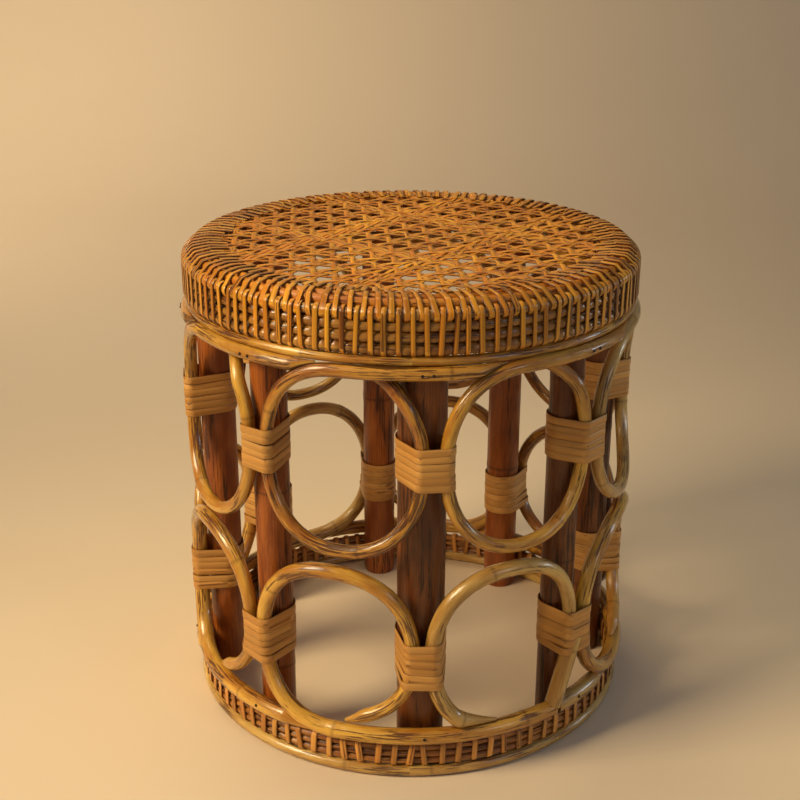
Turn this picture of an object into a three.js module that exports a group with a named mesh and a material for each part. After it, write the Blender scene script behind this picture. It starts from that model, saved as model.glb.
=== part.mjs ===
// Round cane stool: a drum-shaped seat with wrapped sides and an open woven top, carried by eight
// thick canes, which two tiers of bent cane rings brace, above a wrapped base band.
// Millimetres, +Z up, the floor at zero, the front towards -Y.
import * as THREE from 'three';

// Flat cane that wraps the rim, the base and the crossings
const caneWidth = 4.2;
const caneThickness = 1;
const clearance = 0.3;

// Seat drum
const seatRadius = 165;
const rimUnderside = 311.2;
const rimRodDiameter = 7;
const rimRodGap = 0.4;
const rimWrapCount = 96;

// Seat net
const netThickness = 1.6;
const netSink = 1.4;
const netBorder = 9;
const netPitch = 18.6;
const netGapWidth = 11.6;
const netGapDepth = 9.4;

// Posts, whose middles lie a little way in from the seat's side, and the thin hoop round their heads
const postDiameter = 28;
const postInset = 21.5;
const lipHoopDiameter = 5.5;

// Upper tier of rings
const upperRodDiameter = 9.5;
const upperTailDiameter = 9.5;
const upperRingSpacing = 15;
const upperBindingDrop = 0.85;
const upperBindingDepth = 30;

// Lower tier of rings, whose rods thicken towards their tails
const lowerRodDiameter = 9.6;
const lowerTailDiameter = 12;
const lowerRingSpacing = 13;
const lowerRingTop = 162.4;
const lowerBindingDrop = 3.86;
const lowerBindingDepth = 34;

// Both tiers
const tierSpacing = 6.2;
const ringEndGap = 0.9;
const tuckGap = 0.8;

// Base band
const baseHoopDiameter = 9;
const baseRodDiameter = 5;
const baseRodGap = 0.4;
const baseWrapCount = 80;

// Least gap that a winding or a bent rod keeps to itself
const leastSelfGap = 0.4;

// How far a wrap has moved on at each corner of its round, as shares of a pitch, and where a
// length of cane starts and ends on a face, as shares of that face
const rimMoveShares = [0, 0.1, 0.25, 0.6, 0.9];
const baseMoveShares = [0, 0.1, 0.5, 0.9];
const startShare = 0.6;
const endShare = 0.4;

// Places of the posts, as shares of a turn from the front, and their girths, as canes differ, as
// shares of the usual one
const postTurnShares = [0.008, 0.128, 0.264, 0.403, 0.529, 0.647, 0.767, 0.886];
const postGirthShares = [1.2, 0.86, 0.96, 1, 1, 1, 0.95, 0.9];

// Run of a ring: how far the tier lies past the posts, as a share of a turn of the stool, where its
// rod starts on the oval, bends in on the way there, and passes into the tail, as shares of a turn
// from the right side, and where the tail tucks in and ends, as shares of the way from the next
// post to the one after it
const upperShiftShare = 0.0065;
const lowerShiftShare = 0;
const upperStartShare = 0.2;
const lowerStartShare = 0.23;
const startBentShare = 0.19;
const startLevelShare = 0.09;
const ringTopShare = -0.75;
const tuckStartShare = 0.12;
const tuckEndShare = 0.29;
const tailEndShare = 0.44;
const ovalPower = 2.25;

// Facets
const hoopSegments = 36;
const hoopSides = 5;
const baseHoopSides = 8;
const postSides = 12;
const ringSides = 5;
const ovalSteps = 22;
const tailSteps = 8;
const bindingSides = 12;
const netSegments = 30;
const lengthsPerBand = 4;
const samplesPerStretch = 6;

const fullTurn = 2 * Math.PI;
const quarterTurn = Math.PI / 2;
const upward = new THREE.Vector3(0, 0, 1);

const varnishedCane = { color: 0xb87733, roughness: 0.38, metalness: 0 };
const paleCane = { color: 0xcf9a58, roughness: 0.5, metalness: 0 };
const goldenRod = { color: 0xc08a3e, roughness: 0.35, metalness: 0 };
const darkCane = { color: 0x4a2413, roughness: 0.4, metalness: 0 };

const stool = new THREE.Group();

function addPiece(name, geometry, look) {
  const piece = new THREE.Mesh(geometry, new THREE.MeshStandardMaterial(look));
  piece.name = name;
  stool.add(piece);
  return piece;
}

// Point at a turn from the front, at a radius and a height
function polarPoint(turn, radius, height) {
  return new THREE.Vector3(radius * Math.sin(turn), -radius * Math.cos(turn), height);
}

// Solid skinned over a row of sections, with flat ends or joined into a loop
function skin(sections, joined = false) {
  const sides = sections[0].length;
  const spans = joined ? sections.length : sections.length - 1;
  const faces = [];
  for (let row = 0; row < spans; row += 1) {
    const here = row * sides;
    const next = ((row + 1) % sections.length) * sides;
    for (let side = 0; side < sides; side += 1) {
      const after = (side + 1) % sides;
      faces.push(here + side, here + after, next + after);
      faces.push(here + side, next + after, next + side);
    }
  }
  if (!joined) {
    const last = (sections.length - 1) * sides;
    for (let side = 1; side < sides - 1; side += 1) {
      faces.push(0, side + 1, side);
      faces.push(last, last + side, last + side + 1);
    }
  }
  const geometry = new THREE.BufferGeometry();
  geometry.setAttribute('position', new THREE.Float32BufferAttribute(
    sections.flat().flatMap((point) => point.toArray()),
    3,
  ));
  geometry.setIndex(faces);
  geometry.computeVertexNormals();
  return geometry;
}

// Closed hoop of round rod at a height, with a facet of the rod turned to a direction, which is
// half a turn where the facet looks at the hoop's middle
function hoopGeometry(radius, height, rodDiameter, sides, facetDirection = fullTurn / 2) {
  const profile = [];
  for (let corner = 0; corner <= sides; corner += 1) {
    const angle = fullTurn * ((corner % sides) + 0.5) / sides + facetDirection;
    const across = rodDiameter / 2 * Math.cos(angle);
    const up = rodDiameter / 2 * Math.sin(angle);
    profile.push(new THREE.Vector2(radius + across, height + up));
  }
  return new THREE.LatheGeometry(profile, hoopSegments).rotateX(quarterTurn);
}

// Outline of a band pulled taut round circles: one corner for each two neighbouring directions
function tautOutline(circles, directions, offset) {
  const lines = directions.map((direction) => {
    const normal = new THREE.Vector2(Math.cos(direction), Math.sin(direction));
    const reach = Math.max(...circles.map(({ centre, radius }) => centre.dot(normal) + radius));
    return { normal, reach: reach + offset };
  });
  return lines.map((line, index) => {
    const next = lines[(index + 1) % lines.length];
    const cross = line.normal.cross(next.normal);
    return new THREE.Vector2(
      (line.reach * next.normal.y - next.reach * line.normal.y) / cross,
      (next.reach * line.normal.x - line.reach * next.normal.x) / cross,
    );
  });
}

// Evenly spaced samples of the straight stretches between points
function sampleStretches(points) {
  const path = new THREE.CurvePath();
  for (let index = 1; index < points.length; index += 1) {
    path.add(new THREE.LineCurve3(points[index - 1], points[index]));
  }
  return path.getSpacedPoints(points.length * samplesPerStretch);
}

// Print the least gap between samples of the lines that lie more than a reach apart along them
function reportSelfGap(name, lines, reach, thickness) {
  let least = Infinity;
  for (const line of lines) {
    const apart = Math.ceil(reach / line[1].distanceTo(line[0]));
    for (const other of lines) {
      for (let first = 0; first < line.length; first += 1) {
        for (let second = first + apart; second < other.length; second += 1) {
          least = Math.min(least, line[first].distanceTo(other[second]));
        }
      }
    }
  }
  const gap = least - thickness;
  const verdict = gap > leastSelfGap ? 'clear' : 'too close';
  console.log(`${name}: least gap to itself ${gap.toFixed(2)} mm, ${verdict}`);
}

// Rim: three side rods, an edge rod and two top rods, each laid against the one before it
const rimRodRadius = rimRodDiameter / 2;
const rimStep = rimRodDiameter + rimRodGap;
const rimStepDegrees = [90, 90, 90, 138, 174];
const rimFaceDegrees = [0, 48, 86, 202, 270];
const rimRodNames = [
  'rim_rod_lower',
  'rim_rod_middle',
  'rim_rod_upper',
  'rim_rod_edge',
  'seat_rod_outer',
  'seat_rod_inner',
];
const rimRodCover = caneThickness + clearance + rimRodRadius;
const rimRods = [{
  centre: new THREE.Vector2(seatRadius - rimRodCover, rimUnderside + rimRodCover),
  radius: rimRodRadius,
}];
for (const degrees of rimStepDegrees) {
  const lean = THREE.MathUtils.degToRad(degrees);
  const step = new THREE.Vector2(Math.cos(lean), Math.sin(lean)).multiplyScalar(rimStep);
  rimRods.push({ centre: rimRods.at(-1).centre.clone().add(step), radius: rimRodRadius });
}
const rimFaces = rimFaceDegrees.map((degrees) => THREE.MathUtils.degToRad(degrees));
rimRods.forEach(({ centre }, index) => {
  const geometry = hoopGeometry(centre.x, centre.y, rimRodDiameter, hoopSides, rimFaces[3]);
  addPiece(rimRodNames[index], geometry, goldenRod);
});

// Base band: a bottom hoop, flat where it stands, and three thin hoops above it
const postCircleRadius = seatRadius - postInset;
const postFace = postCircleRadius + postDiameter / 2;
const baseHoopHeight = baseHoopDiameter / 2 * Math.cos(Math.PI / baseHoopSides);
const baseHoopRadius = postFace + clearance + baseHoopDiameter / 2;
addPiece(
  'base_hoop',
  hoopGeometry(baseHoopRadius, baseHoopHeight, baseHoopDiameter, baseHoopSides),
  goldenRod,
);
const baseRodCover = caneThickness + clearance + baseRodDiameter / 2;
const baseRodStart = 2 * baseHoopHeight + clearance + baseRodCover;
const baseFaceDegrees = [0, 90, 180, 270];
const baseRodNames = ['base_rod_lower', 'base_rod_middle', 'base_rod_upper'];
const baseRods = baseRodNames.map((name, index) => {
  const radius = postFace + clearance + baseRodCover;
  const height = baseRodStart + index * (baseRodDiameter + baseRodGap);
  addPiece(name, hoopGeometry(radius, height, baseRodDiameter, hoopSides), goldenRod);
  return { centre: new THREE.Vector2(radius, height), radius: baseRodDiameter / 2 };
});

// Flat cane wound round a group of hoops in four lengths, each one unbroken strip that starts and
// ends on the face before the last corner. The shares say how much of a pitch a turn has moved on
// at each corner: little on the outside and the top, most of it on the hidden faces.
function addWindings(name, rods, faces, moveShares, wrapCount) {
  const inner = tautOutline(rods, faces, clearance);
  const outer = tautOutline(rods, faces, clearance + caneThickness);
  const corners = inner.length;
  const pitch = fullTurn / wrapCount;
  const loops = wrapCount / lengthsPerBand;

  // The place along the strip counts corners: a part of a corner lies on the face after it
  function section(place, startTurn) {
    const corner = Math.floor(place);
    const share = place - corner;
    const here = corner % corners;
    const next = (corner + 1) % corners;
    const moveHere = Math.floor(corner / corners) + moveShares[here];
    const moveNext = Math.floor((corner + 1) / corners) + moveShares[next];
    const low = inner[here].clone().lerp(inner[next], share);
    const high = outer[here].clone().lerp(outer[next], share);
    const turn = startTurn + pitch * THREE.MathUtils.lerp(moveHere, moveNext, share);
    const halfWidth = caneWidth / 2 / low.x;
    return [
      polarPoint(turn, high.x, high.y),
      polarPoint(turn + halfWidth, low.x, low.y),
      polarPoint(turn - halfWidth, low.x, low.y),
    ];
  }

  for (let length = 0; length < lengthsPerBand; length += 1) {
    const startTurn = length * loops * pitch;
    const firstCorner = corners - 2;
    const lastCorner = firstCorner + loops * corners;
    const sections = [section(firstCorner + startShare, startTurn)];
    for (let corner = firstCorner + 1; corner <= lastCorner; corner += 1) {
      sections.push(section(corner, startTurn));
    }
    sections.push(section(lastCorner + endShare, startTurn));
    addPiece(`${name}_${length + 1}`, skin(sections), varnishedCane);
    if (length === 0) {
      const edges = [1, 2].map((side) => sampleStretches(sections.map((corner) => corner[side])));
      reportSelfGap(name, edges, inner[0].distanceTo(inner[1]), 0);
    }
  }
}

const baseFaces = baseFaceDegrees.map((degrees) => THREE.MathUtils.degToRad(degrees));
addWindings('rim_winding', rimRods, rimFaces, rimMoveShares, rimWrapCount);
addWindings('base_winding', baseRods, baseFaces, baseMoveShares, baseWrapCount);

// Seat net: a flat disc inside the wraps, pierced in columns that stagger by half a pitch
const seatInnerCorner = tautOutline(rimRods, rimFaces, clearance + caneThickness)[2];
const netRadius = seatInnerCorner.x - clearance;
const netReach = netRadius - netBorder;
const netColumnPitch = netPitch * Math.sin(fullTurn / 6);
const netOutline = new THREE.Shape().absarc(0, 0, netRadius, 0, fullTurn);
const columns = Math.floor(netReach / netColumnPitch);
const rows = Math.ceil(netReach / netPitch);
for (let column = -columns; column <= columns; column += 1) {
  const stagger = column % 2 === 0 ? 0 : 0.5;
  for (let row = -rows; row <= rows; row += 1) {
    const x = column * netColumnPitch;
    const y = (row + stagger) * netPitch;
    if (Math.hypot(x, y) < netReach) {
      const gap = new THREE.Path();
      gap.moveTo(x - netGapWidth / 2, y);
      gap.lineTo(x, y - netGapDepth / 2);
      gap.lineTo(x + netGapWidth / 2, y);
      gap.lineTo(x, y + netGapDepth / 2);
      netOutline.holes.push(gap);
    }
  }
}
const netGeometry = new THREE.ExtrudeGeometry(netOutline, {
  depth: netThickness,
  bevelEnabled: false,
  curveSegments: netSegments,
});
netGeometry.translate(0, 0, seatInnerCorner.y - netSink - netThickness);
addPiece('seat_net', netGeometry, varnishedCane);

// Posts: from the floor to the underside of the rim
const postCount = postTurnShares.length;
const postHeight = rimUnderside - clearance;

function postTurn(index) {
  return fullTurn * (postTurnShares[index % postCount] + Math.floor(index / postCount));
}

function postRadius(index) {
  return postGirthShares[index] * postDiameter / 2;
}

// Middle of a post on the floor: all posts touch the same circle outside
function postFoot(index) {
  return polarPoint(postTurn(index), postFace - postRadius(index), 0);
}

for (let index = 0; index < postCount; index += 1) {
  const radius = postRadius(index);
  const geometry = new THREE.CylinderGeometry(radius, radius, postHeight, postSides);
  geometry.rotateX(quarterTurn);
  const post = addPiece(`post_${index + 1}`, geometry, darkCane);
  post.position.copy(postFoot(index)).addScaledVector(upward, postHeight / 2);
  post.rotation.z = postTurn(index);
}

// Lip hoop: round the heads of the posts, just under the rim
const lipHoopHeight = rimUnderside - clearance - lipHoopDiameter / 2;
const lipHoopRadius = postFace + clearance + lipHoopDiameter / 2;
addPiece('lip_hoop', hoopGeometry(lipHoopRadius, lipHoopHeight, lipHoopDiameter, hoopSides), goldenRod);

// The two tiers: the line is where the tails lie, under the lip hoop or on the base band, and the
// far side is the other end of the ring's height. The bindings sit a little below the middle
const baseWraps = tautOutline(baseRods, baseFaces, clearance + caneThickness);
const upperTier = {
  name: 'upper',
  line: lipHoopHeight - lipHoopDiameter / 2 - clearance,
  farSide: lowerRingTop + tierSpacing,
  shift: fullTurn * upperShiftShare,
  ringSpacing: upperRingSpacing,
  startShare: upperStartShare,
  startsBehindTail: true,
  rodRadius: upperRodDiameter / 2,
  tailRadius: upperTailDiameter / 2,
  bindingDrop: upperBindingDrop,
  bindingDepth: upperBindingDepth,
};
const lowerTier = {
  name: 'lower',
  line: baseWraps[0].y + clearance,
  farSide: lowerRingTop,
  shift: fullTurn * lowerShiftShare,
  ringSpacing: lowerRingSpacing,
  startShare: lowerStartShare,
  startsBehindTail: false,
  rodRadius: lowerRodDiameter / 2,
  tailRadius: lowerTailDiameter / 2,
  bindingDrop: lowerBindingDrop,
  bindingDepth: lowerBindingDepth,
};

// Rounded oval, fuller than an ellipse
function ovalPoint(angle, halfWidth, halfHeight) {
  const across = Math.cos(angle);
  const up = Math.sin(angle);
  return new THREE.Vector2(
    halfWidth * Math.sign(across) * Math.abs(across) ** (2 / ovalPower),
    halfHeight * Math.sign(up) * Math.abs(up) ** (2 / ovalPower),
  );
}

// A ring is one bent rod. It starts at its own tail, runs down along the next post, round and up
// along its own post, and ends as a tail that follows the line past the next post and tucks in
// behind the following ring. In the lower tier the same run is upside down. The start lies behind
// the tail in the upper tier and on it in the lower one.
function ringPath(index, tier) {
  const turn = postTurn(index) + tier.shift;
  const nextTurn = postTurn(index + 1) + tier.shift;
  const followingTurn = postTurn(index + 2) + tier.shift;
  const middleTurn = (turn + nextTurn) / 2;
  const tailEndTurn = THREE.MathUtils.lerp(nextTurn, followingTurn, tailEndShare);
  const middle = (tier.line + tier.farSide) / 2;
  const halfDepth = Math.abs(tier.line - tier.farSide) / 2;
  const side = Math.sign(tier.line - tier.farSide);
  const sideRadius = postFace + clearance + tier.rodRadius;
  const halfWidth = (nextTurn - turn) / 2 * sideRadius - tier.ringSpacing / 2;
  const tuckDepth = 2 * tier.tailRadius + tuckGap;
  const onTail = halfDepth - 2 * tier.tailRadius - ringEndGap - tier.rodRadius;
  const stations = [];
  for (let step = 0; step <= ovalSteps; step += 1) {
    const along = step / ovalSteps;
    const turnShare = THREE.MathUtils.lerp(tier.startShare, ringTopShare, along);
    const rodRadius = THREE.MathUtils.lerp(tier.rodRadius, tier.tailRadius, along);
    let halfHeight = halfDepth - rodRadius;
    let tuck = 0;
    if (turnShare > 0 && tier.startsBehindTail) {
      tuck = tuckDepth * THREE.MathUtils.smoothstep(turnShare, startLevelShare, startBentShare);
    } else if (turnShare > 0) {
      halfHeight = onTail / ovalPoint(fullTurn * tier.startShare, 1, 1).y;
    }
    const point = ovalPoint(fullTurn * turnShare, halfWidth, halfHeight);
    const height = middle + side * point.y;
    stations.push({ turn: middleTurn + point.x / sideRadius, height, rodRadius, tuck });
  }
  for (let step = 1; step <= tailSteps; step += 1) {
    const tailTurn = THREE.MathUtils.lerp(middleTurn, tailEndTurn, step / tailSteps);
    const progress = (tailTurn - nextTurn) / (followingTurn - nextTurn);
    const tuck = tuckDepth * THREE.MathUtils.smoothstep(progress, tuckStartShare, tuckEndShare);
    const height = tier.line - side * tier.tailRadius;
    stations.push({ turn: tailTurn, height, rodRadius: tier.tailRadius, tuck });
  }
  return stations.map((station) => {
    const radius = postFace + clearance + station.rodRadius - station.tuck;
    return {
      point: polarPoint(station.turn, radius, station.height),
      outward: polarPoint(station.turn, 1, 0),
      rodRadius: station.rodRadius,
    };
  });
}

function rodSections(path) {
  return path.map(({ point, outward, rodRadius }, index) => {
    const before = path[Math.max(0, index - 1)].point;
    const after = path[Math.min(path.length - 1, index + 1)].point;
    const along = after.clone().sub(before).normalize();
    const away = outward.clone().addScaledVector(along, -outward.dot(along)).normalize();
    const across = along.clone().cross(away);
    const section = [];
    for (let corner = 0; corner < ringSides; corner += 1) {
      const angle = fullTurn * corner / ringSides;
      const offset = away.clone().multiplyScalar(Math.cos(angle)).addScaledVector(across, Math.sin(angle));
      section.push(point.clone().addScaledVector(offset, rodRadius));
    }
    return section;
  });
}

// Places where a ring's rod crosses a height: first on its right side, then on its left side. A
// slanting rod is wider across there.
function crossings(path, height) {
  const found = [];
  for (let index = 1; index < path.length; index += 1) {
    const before = path[index - 1];
    const after = path[index];
    const share = (height - before.point.z) / (after.point.z - before.point.z);
    if (share >= 0 && share < 1) {
      const slant = before.point.distanceTo(after.point) / Math.abs(after.point.z - before.point.z);
      found.push({
        point: before.point.clone().lerp(after.point, share),
        radius: slant * Math.max(before.rodRadius, after.rodRadius),
      });
    }
  }
  return found;
}

// Binding: a sleeve of flat cane round a post and the sides of the two rings that lie on it
function bindingSections(index, tier, paths) {
  const directions = [];
  for (let side = 0; side < bindingSides; side += 1) {
    directions.push(fullTurn * side / bindingSides);
  }
  const centre = (tier.line + tier.farSide) / 2 - tier.bindingDrop;
  const bottom = centre - tier.bindingDepth / 2;
  const top = centre + tier.bindingDepth / 2;

  function outline(height, offset) {
    const circles = [{ centre: new THREE.Vector2(0, 0), radius: postRadius(index) }];
    const ownSide = crossings(paths[index], height)[1];
    const previousSide = crossings(paths[(index + postCount - 1) % postCount], height)[0];
    for (const { point, radius } of [ownSide, previousSide]) {
      const local = point.clone().sub(postFoot(index)).applyAxisAngle(upward, -postTurn(index));
      circles.push({ centre: new THREE.Vector2(local.x, -local.y), radius });
    }
    return tautOutline(circles, directions, offset).map((corner) => {
      return new THREE.Vector3(corner.x, -corner.y, height);
    });
  }

  const outlines = [
    outline(bottom, clearance),
    outline(top, clearance),
    outline(top, clearance + caneThickness),
    outline(bottom, clearance + caneThickness),
  ];
  return directions.map((direction, corner) => outlines.map((level) => level[corner])).reverse();
}

for (const tier of [upperTier, lowerTier]) {
  const paths = [];
  for (let index = 0; index < postCount; index += 1) {
    paths.push(ringPath(index, tier));
    addPiece(`${tier.name}_ring_${index + 1}`, skin(rodSections(paths[index])), goldenRod);
  }
  const line = sampleStretches(paths[0].map(({ point }) => point));
  reportSelfGap(`${tier.name}_ring`, [line], postDiameter, tier.rodRadius + tier.tailRadius);
  for (let index = 0; index < postCount; index += 1) {
    const geometry = skin(bindingSections(index, tier, paths), true);
    const binding = addPiece(`${tier.name}_binding_${index + 1}`, geometry, paleCane);
    binding.position.copy(postFoot(index));
    binding.rotation.z = postTurn(index);
  }
}

export default stool;
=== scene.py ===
"""Looks of a round cane stool: wrapped rim, woven seat, bent rings, bindings and posts."""

from __future__ import annotations

import logging
import math
import random
from collections.abc import Callable
from dataclasses import dataclass, field, replace
from enum import Enum

import bpy
from mathutils import Matrix, Vector

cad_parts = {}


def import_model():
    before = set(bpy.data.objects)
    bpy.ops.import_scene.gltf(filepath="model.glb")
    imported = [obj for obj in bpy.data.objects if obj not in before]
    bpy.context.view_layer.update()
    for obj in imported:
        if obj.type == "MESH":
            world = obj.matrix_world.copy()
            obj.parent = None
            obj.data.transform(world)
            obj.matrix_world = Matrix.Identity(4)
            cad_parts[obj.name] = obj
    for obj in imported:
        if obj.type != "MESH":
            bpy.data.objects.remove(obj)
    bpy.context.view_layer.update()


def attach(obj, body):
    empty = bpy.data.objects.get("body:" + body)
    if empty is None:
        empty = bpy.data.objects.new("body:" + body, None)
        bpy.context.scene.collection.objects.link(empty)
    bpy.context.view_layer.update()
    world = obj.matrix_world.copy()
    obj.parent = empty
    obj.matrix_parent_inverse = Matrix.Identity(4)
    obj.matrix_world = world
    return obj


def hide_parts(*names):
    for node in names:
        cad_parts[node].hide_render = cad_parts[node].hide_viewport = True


LOG = logging.getLogger("stool")
FULL_TURN = 2.0 * math.pi
QUARTER_TURN = math.pi / 2.0
SMOOTH_ANGLE = math.radians(50)
DOUBLE_DISTANCE = 0.000005
RIM_NODES = (
    "rim_rod_lower", "rim_rod_middle", "rim_rod_upper", "rim_rod_edge", "seat_rod_outer", "seat_rod_inner",
)
BASE_NODES = ("base_rod_lower", "base_rod_middle", "base_rod_upper")

Colour = tuple[float, float, float, float]
Material = bpy.types.Material
Outline = list[tuple[float, float]]
Piece = bpy.types.Object
Place = Callable[[Vector], Vector]
Rise = Callable[[Vector], float]
Route = list[Vector]
Socket = bpy.types.NodeSocket


class Slot(Enum):
    """Material slots of the stool's record."""

    NET = "net_cane"
    WRAP = "wrap_cane"
    ROD = "rod_cane"
    BINDING = "binding_cane"
    POST = "post_cane"


def polar(turn: float, radius: float, height: float) -> Vector:
    """Return the point at a turn from the front, at a radius and a height."""
    return Vector((radius * math.sin(turn), -radius * math.cos(turn), height))


def turn_of(point: Vector) -> float:
    """Return the turn from the front that a point lies at."""
    return math.atan2(point.x, -point.y)


def lerp(first: float, second: float, share: float) -> float:
    """Return the value a share of the way from the first to the second."""
    return first + (second - first) * share


def smoothstep(value: float, low: float, high: float) -> float:
    """Return a smooth rise from zero at low to one at high."""
    share = min(1.0, max(0.0, (value - low) / (high - low)))
    return share * share * (3.0 - 2.0 * share)


def srgb(red: int, green: int, blue: int) -> Colour:
    """Return a colour written as on a colour chart in the linear values that shaders use."""
    parts = (red / 255, green / 255, blue / 255)
    return (*(part / 12.92 if part <= 0.04045 else ((part + 0.055) / 1.055) ** 2.4 for part in parts), 1.0)


@dataclass(frozen=True)
class Bundle:
    """A rod of a bundle, seen in section: how far out and up it lies, and its own radius."""

    radius: float
    height: float
    rod: float


@dataclass(frozen=True)
class StoolSizes:
    """Sizes of the stool, in metres, and shares of turns that its pieces follow."""

    seat_radius: float = 0.165
    rim_underside: float = 0.3112
    rim_rod: float = 0.0035
    rim_step: float = 0.0074
    rim_leans: tuple[int, ...] = (90, 90, 90, 138, 174)
    cane: float = 0.001
    clearance: float = 0.0003
    post_radius: float = 0.014
    post_inset: float = 0.0215
    lip_rod: float = 0.00275
    base_hoop_rod: float = 0.0045
    base_rod: float = 0.0025
    base_step: float = 0.0054
    oval_power: float = 2.25
    post_shares: tuple[float, ...] = (0.008, 0.128, 0.264, 0.403, 0.529, 0.647, 0.767, 0.886)
    post_girths: tuple[float, ...] = (1.2, 0.86, 0.96, 1.0, 1.0, 1.0, 0.95, 0.9)
    wrap_count: int = 116
    joint_spacing: float = 0.137
    joint_reach: float = 0.003

    @property
    def post_count(self) -> int:
        """Return how many posts carry the seat."""
        return len(self.post_shares)

    @property
    def post_face(self) -> float:
        """Return the radius of the circle that touches the posts outside."""
        return self.seat_radius - self.post_inset + self.post_radius

    @property
    def ring_face(self) -> float:
        """Return the radius that the rings' rods start at, just clear of the posts."""
        return self.post_face + self.clearance

    @property
    def base_hoop_half(self) -> float:
        """Return half the height of the base hoop, whose section has eight sides in the CAD."""
        return self.base_hoop_rod * math.cos(math.pi / 8)

    def girth(self, index: int) -> float:
        """Return the radius of a post, as thick canes differ."""
        return self.post_radius * self.post_girths[index]

    def post_foot(self, index: int, height: float = 0.0) -> Vector:
        """Return the middle of a post at a height."""
        return polar(self.post_turn(index), self.post_face - self.girth(index), height)

    def post_turn(self, index: int) -> float:
        """Return the turn of a post, counted on past a full round."""
        return FULL_TURN * (self.post_shares[index % self.post_count] + index // self.post_count)

    def rim_bundle(self) -> list[Bundle]:
        """Stack the six rods of the rim.

        Returns:
            The rods, from the lowest to the innermost.
        """
        cover = self.cane + self.clearance + self.rim_rod
        rods = [Bundle(self.seat_radius - cover, self.rim_underside + cover, self.rim_rod)]
        for lean in map(math.radians, self.rim_leans):
            radius = rods[-1].radius + self.rim_step * math.cos(lean)
            rods.append(Bundle(radius, rods[-1].height + self.rim_step * math.sin(lean), self.rim_rod))
        return rods

    def base_bundle(self) -> list[Bundle]:
        """Stack the three thin rods of the base band.

        Returns:
            The rods, from the lowest.
        """
        cover = self.cane + self.clearance + self.base_rod
        start = 2 * self.base_hoop_half + self.clearance + cover
        heights = [start + step * self.base_step for step in range(len(BASE_NODES))]
        return [Bundle(self.ring_face + cover, height, self.base_rod) for height in heights]


SIZES = StoolSizes()


class NodeBoard:
    """A node tree with short ways to add and link nodes."""

    def __init__(self, tree: bpy.types.NodeTree) -> None:
        """Keep the tree that is worked on."""
        self.tree = tree

    def feed(self, node: bpy.types.Node, inputs: dict) -> None:
        """Set or link a node's inputs.

        Args:
            node: The node.
            inputs: Values or output sockets for its inputs, by name or number.
        """
        for name, value in inputs.items():
            if isinstance(value, Socket):
                self.tree.links.new(value, node.inputs[name])
            else:
                node.inputs[name].default_value = value

    def add(self, kind: str, inputs: dict | None = None, **settings: object) -> bpy.types.Node:
        """Add a node.

        Args:
            kind: The node's type, without the word ShaderNode.
            inputs: Values or output sockets for its inputs, by name or number.
            settings: Properties of the node.

        Returns:
            The new node.
        """
        node = self.tree.nodes.new("ShaderNode" + kind)
        for name, value in settings.items():
            setattr(node, name, value)
        self.feed(node, inputs or {})
        return node

    def group(self, tree: bpy.types.NodeTree, inputs: dict) -> Socket:
        """Add a shader group, set or link its inputs and return its output."""
        return self.add("Group", inputs, node_tree=tree).outputs[0]

    def math(self, operation: str, first: object, second: object = 0.0) -> Socket:
        """Add a math node and return its output."""
        return self.add("Math", {0: first, 1: second}, operation=operation).outputs[0]

    def mix(self, share: object, first: object, second: object) -> Socket:
        """Add a colour mix and return its output."""
        return self.add("Mix", {0: share, 6: first, 7: second}, data_type="RGBA").outputs[2]

    def mark(self, name: str, share: float) -> Socket:
        """Add a reading of a mesh's own attribute, times a share, and return its output."""
        return self.math("MULTIPLY", self.add("Attribute", attribute_name=name).outputs["Fac"], share)

    def stretch(self, value: object, low: float, high: float) -> Socket:
        """Add a smooth map of low to high onto zero to one and return its output."""
        inputs = {"Value": value, "From Min": low, "From Max": high}
        return self.add("MapRange", inputs, interpolation_type="SMOOTHSTEP").outputs[0]

    def scaled(self, place: Socket, along: object, across: object, depth: float = 0.0) -> Socket:
        """Scale a place on the cane.

        Args:
            place: Its place, along the cane and round it.
            along: The scale along the cane.
            across: The scale round the cane.
            depth: The third coordinate that it gets, which sets one noise apart from another.

        Returns:
            The scaled place.
        """
        axes = self.add("SeparateXYZ", {0: place}).outputs
        first = self.math("MULTIPLY", axes[0], along)
        second = self.math("MULTIPLY", axes[1], across)
        return self.add("CombineXYZ", {0: first, 1: second, 2: depth}).outputs[0]

    def noise(self, place: Socket, scale: object, detail: float = 2.0, roughness: float = 0.5) -> Socket:
        """Add a noise at a place and return its output."""
        inputs = {"Vector": place, "Scale": scale, "Detail": detail, "Roughness": roughness}
        return self.add("TexNoise", inputs).outputs[0]


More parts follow.
